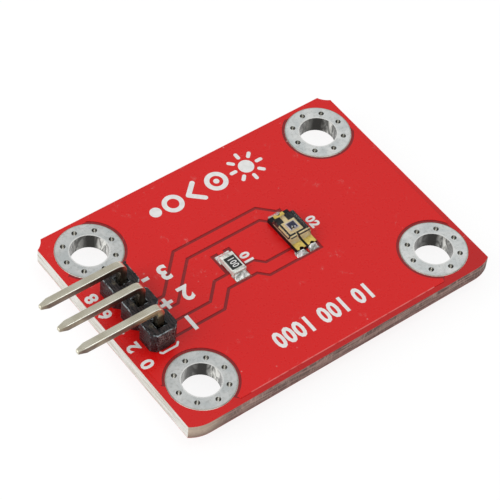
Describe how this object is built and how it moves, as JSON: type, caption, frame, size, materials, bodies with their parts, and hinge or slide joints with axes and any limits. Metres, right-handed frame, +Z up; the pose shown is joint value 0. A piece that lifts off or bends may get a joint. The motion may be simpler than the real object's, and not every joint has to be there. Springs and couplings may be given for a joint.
{
  "type": "light sensor module",
  "caption": "Small red circuit board with tinned mounting rings, a right-angle pin header, a clear-moulded light sensor and a load resistor.",
  "frame": {"origin": "centre of the four mounting holes, on the underside of the board", "axes": "+Z up out of the board's component side, +X along the board's long side away from the pin header, +Y towards the far long edge"},
  "size_m": [0.0347, 0.0221, 0.007],
  "materials": {
    "laminate": "glass-fibre and epoxy laminate, routed edge",
    "copper": "etched copper under the solder mask",
    "solder_mask": "red solder mask, glossy",
    "tin_plating": "tinned, satin",
    "header_plastic": "black moulded nylon",
    "pin_metal": "tinned brass pin, drawn",
    "solder": "bright solder",
    "carrier_black": "black carrier board",
    "gilt": "gilt",
    "silicon": "polished silicon",
    "clear_resin": "clear moulded resin",
    "ceramic": "white alumina",
    "resistor_black": "black glass coat",
    "cap_tin": "tinned end cap"
  },
  "bodies": {
    "root": {"substrate": "laminate", "top_copper": "copper", "bottom_copper": "copper", "top_mask": "solder_mask", "bottom_mask": "solder_mask", "mounting_ring_near_left": "tin_plating", "mounting_ring_near_right": "tin_plating", "mounting_ring_far_left": "tin_plating", "mounting_ring_far_right": "tin_plating", "pin_land_near": "tin_plating", "pin_land_mid": "tin_plating", "pin_land_far": "tin_plating", "header_housing": "header_plastic", "header_pin_near": "pin_metal", "header_pin_mid": "pin_metal", "header_pin_far": "pin_metal", "pin_solder_near": "solder", "pin_solder_mid": "solder", "pin_solder_far": "solder", "sensor_carrier": "carrier_black", "sensor_far_terminal": "gilt", "sensor_near_left_terminal": "gilt", "sensor_near_right_terminal": "gilt", "sensor_chip": "silicon", "sensor_bond_wire": "gilt", "sensor_lens": "clear_resin", "sensor_solder_far": "solder", "sensor_solder_near_left": "solder", "sensor_solder_near_right": "solder", "resistor_body": "ceramic", "resistor_coat": "resistor_black", "resistor_cap_near": "cap_tin", "resistor_cap_far": "cap_tin", "resistor_solder_near": "solder", "resistor_solder_far": "solder"}
  },
  "joints": []
}
